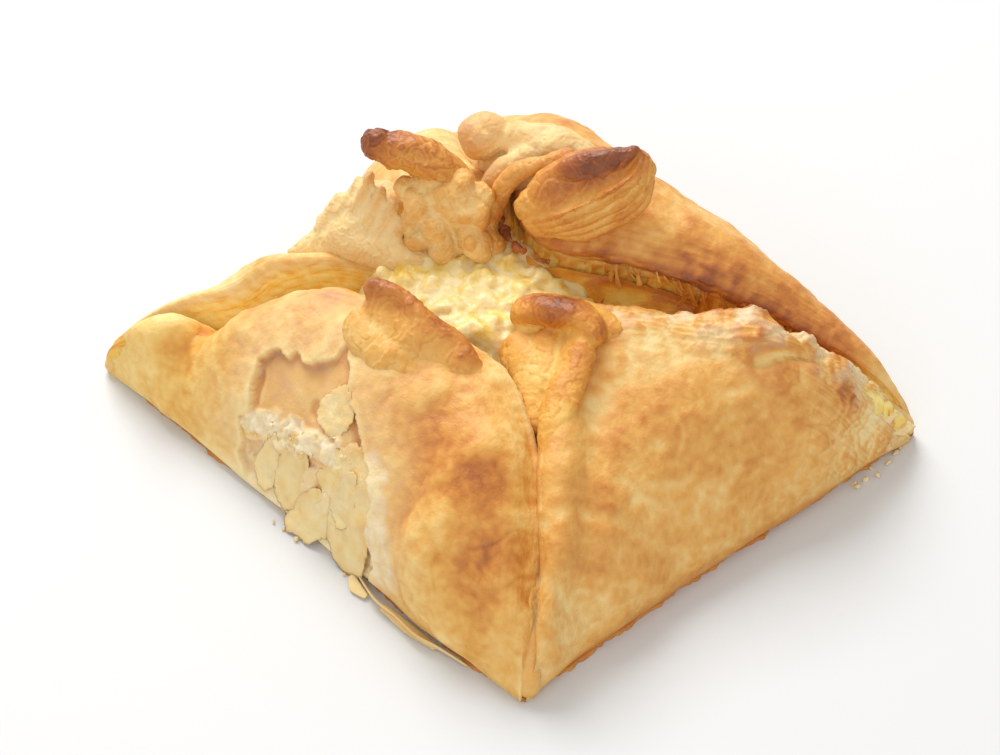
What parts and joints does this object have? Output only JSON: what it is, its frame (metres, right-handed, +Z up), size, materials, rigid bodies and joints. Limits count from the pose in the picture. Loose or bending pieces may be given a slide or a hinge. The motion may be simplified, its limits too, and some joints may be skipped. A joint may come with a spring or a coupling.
{
  "type": "puff pastry",
  "caption": "Baked puff pastry parcel: flaps folded to the middle over a soft cheese filling, with their tips curled outward round the opening.",
  "frame": {"origin": "middle of the flat foot that the pastry rests on", "axes": "+X along the longer side, +Y along the shorter side towards the flap with the tall leaf-shaped tip, +Z up"},
  "size_m": [0.1006, 0.0786, 0.0415],
  "materials": {
    "baked_crust": "golden brown baked dough, matt with a faint satin glaze, darker on the raised tips",
    "curd_cheese": "pale yellow crumbly curd, slightly moist"
  },
  "bodies": {
    "root": {"pastry": "baked_crust", "filling": "curd_cheese"}
  },
  "joints": []
}
